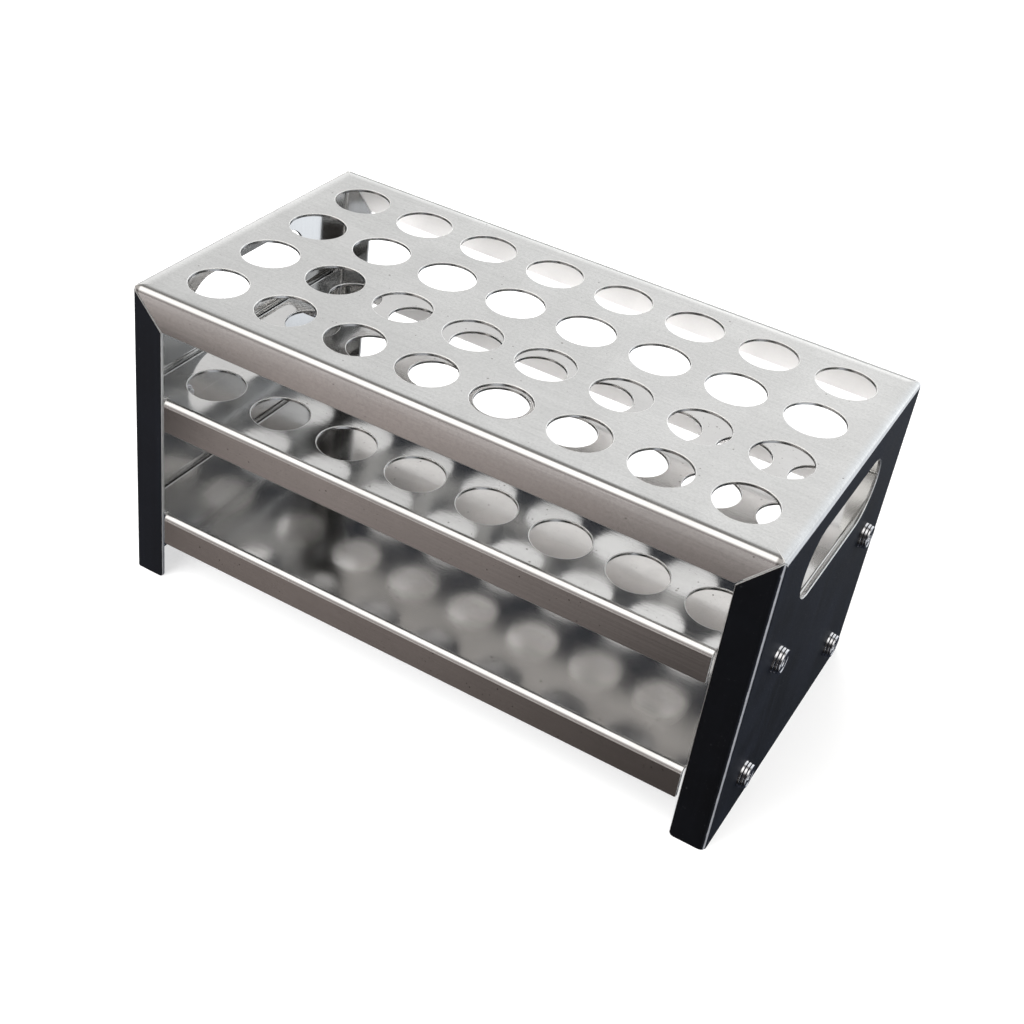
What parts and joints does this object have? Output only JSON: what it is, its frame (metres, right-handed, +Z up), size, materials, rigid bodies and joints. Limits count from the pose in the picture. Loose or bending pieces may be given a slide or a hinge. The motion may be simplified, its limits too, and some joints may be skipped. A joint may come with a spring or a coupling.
{
  "type": "test tube rack",
  "caption": "Folded sheet-steel rack: a top deck and a middle shelf with a grid of round holes hold tubes upright over a plain bottom shelf, with a handle slot in each end panel.",
  "frame": {"origin": "centre of the footprint on the surface that the rack stands on", "axes": "+X along the length, from the left end panel to the right; -Y out of the open front; +Z up, through the top deck"},
  "size_m": [0.2106, 0.11, 0.104],
  "materials": {
    "shell_steel": "fine brushed stainless sheet; the end panels look navy-black from outside, the deck light grey",
    "shelf_steel": "fine brushed stainless sheet, slightly reflective",
    "rivet_steel": "bright drawn stainless steel",
    "mandrel_steel": "broken wire end, darker and matt"
  },
  "bodies": {
    "root": {"bottom_shelf": "shelf_steel", "mandrel_bottom_left_back": "mandrel_steel", "mandrel_bottom_left_front": "mandrel_steel", "mandrel_bottom_right_back": "mandrel_steel", "mandrel_bottom_right_front": "mandrel_steel", "mandrel_middle_left_back": "mandrel_steel", "mandrel_middle_left_front": "mandrel_steel", "mandrel_middle_right_back": "mandrel_steel", "mandrel_middle_right_front": "mandrel_steel", "middle_shelf": "shelf_steel", "outer_shell": "shell_steel", "rivet_bottom_left_back": "rivet_steel", "rivet_bottom_left_front": "rivet_steel", "rivet_bottom_right_back": "rivet_steel", "rivet_bottom_right_front": "rivet_steel", "rivet_middle_left_back": "rivet_steel", "rivet_middle_left_front": "rivet_steel", "rivet_middle_right_back": "rivet_steel", "rivet_middle_right_front": "rivet_steel"}
  },
  "joints": []
}
